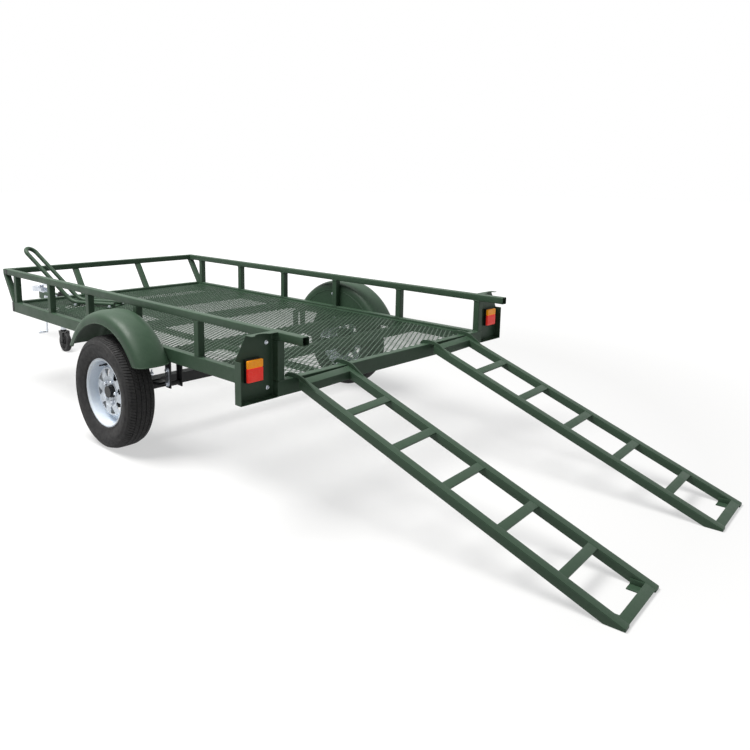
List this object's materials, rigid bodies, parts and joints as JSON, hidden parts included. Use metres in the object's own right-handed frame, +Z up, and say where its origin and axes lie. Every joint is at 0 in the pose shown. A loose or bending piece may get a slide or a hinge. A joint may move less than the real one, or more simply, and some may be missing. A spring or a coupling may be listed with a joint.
{
  "type": "all-terrain vehicle trailer",
  "caption": "Single-axle flat-bed utility trailer with mesh deck, low side rails, round mudguards, wheel chock, jockey wheel and hook-on ladder ramps.",
  "frame": {"origin": "on the ground under the middle of the whole length, from coupler nose to ramp toes, on the trailer's centre plane", "axes": "+X runs rearward to the ramps, +Y to the trailer's right side, +Z up"},
  "size_m": [5.7091, 1.976, 0.9441],
  "materials": {
    "green_paint": "satin powder coat",
    "black_paint": "satin",
    "zinc_plate": "zinc plated",
    "white_rim": "gloss",
    "black_hub": "gloss",
    "tyre_rubber": "matte",
    "roller_rubber": "matte",
    "black_plastic": "matte",
    "amber_lens": "gloss",
    "red_lens": "gloss"
  },
  "bodies": {
    "trailer": {"left_side_rail": "green_paint", "right_side_rail": "green_paint", "front_cross_rail": "green_paint", "rear_cross_rail": "green_paint", "deck_cross_members": "green_paint", "mesh_deck_front": "green_paint", "mesh_deck_rear": "green_paint", "left_top_rail": "green_paint", "right_top_rail": "green_paint", "front_top_rail": "green_paint", "side_posts": "green_paint", "front_posts": "green_paint", "left_mudguard": "green_paint", "right_mudguard": "green_paint", "left_lamp_tray": "green_paint", "right_lamp_tray": "green_paint", "lamp_housings": "black_plastic", "amber_lenses": "amber_lens", "red_lenses": "red_lens", "axle_beam": "black_paint", "left_leaf_spring": "black_paint", "right_leaf_spring": "black_paint", "spring_hangers": "black_paint", "axle_u_bolts": "zinc_plate", "drawbar": "green_paint", "coupler_body": "zinc_plate", "jockey_clamp": "zinc_plate", "jockey_outer_tube": "black_paint", "wheel_chock": "green_paint"},
    "left_wheel": {"left_tyre": "tyre_rubber", "left_rim": "white_rim", "left_hub": "black_hub"},
    "right_wheel": {"right_tyre": "tyre_rubber", "right_rim": "white_rim", "right_hub": "black_hub"},
    "coupler_lever": {"coupler_handle": "zinc_plate"},
    "jockey_leg": {"jockey_inner_tube": "zinc_plate"},
    "jockey_caster": {"jockey_fork": "black_paint"},
    "jockey_roller": {"jockey_wheel": "roller_rubber"},
    "jockey_winder": {"jockey_crank": "zinc_plate"},
    "left_ramp": {"left_ramp_frame": "green_paint", "left_ramp_hooks": "green_paint"},
    "right_ramp": {"right_ramp_frame": "green_paint", "right_ramp_hooks": "green_paint"}
  },
  "joints": [
    {"name": "left_wheel_spin", "type": "hinge", "parent": "trailer", "child": "left_wheel", "pos_m": [0.18539, -0.905, 0.303], "axis": [0, 1, 0], "continuous": true},
    {"name": "right_wheel_spin", "type": "hinge", "parent": "trailer", "child": "right_wheel", "pos_m": [0.18539, 0.905, 0.303], "axis": [0, 1, 0], "continuous": true},
    {"name": "coupler_handle_lift", "type": "hinge", "parent": "trailer", "child": "coupler_lever", "pos_m": [-2.73661, 0, 0.464], "axis": [0, -1, 0], "range_deg": [0, 55]},
    {"name": "jockey_lift", "type": "slide", "parent": "trailer", "child": "jockey_leg", "axis": [0, 0, 1], "range_m": [0, 0.08]},
    {"name": "jockey_swivel", "type": "hinge", "parent": "jockey_leg", "child": "jockey_caster", "pos_m": [-2.08461, -0.118, 0.172], "axis": [0, 0, 1], "continuous": true},
    {"name": "jockey_wheel_spin", "type": "hinge", "parent": "jockey_caster", "child": "jockey_roller", "pos_m": [-2.05661, -0.118, 0.08], "axis": [0, 1, 0], "continuous": true},
    {"name": "jockey_crank_turn", "type": "hinge", "parent": "trailer", "child": "jockey_winder", "pos_m": [-2.08461, -0.158, 0.466], "axis": [0, 1, 0], "continuous": true},
    {"name": "left_ramp_pivot", "type": "hinge", "parent": "trailer", "child": "left_ramp", "pos_m": [1.31846, -0.52286, 0.574], "axis": [0.0698, -0.9976, 0], "range_deg": [0, 35]},
    {"name": "right_ramp_pivot", "type": "hinge", "parent": "trailer", "child": "right_ramp", "pos_m": [1.31846, 0.44914, 0.574], "axis": [0.0698, -0.9976, 0], "range_deg": [0, 35]}
  ]
}
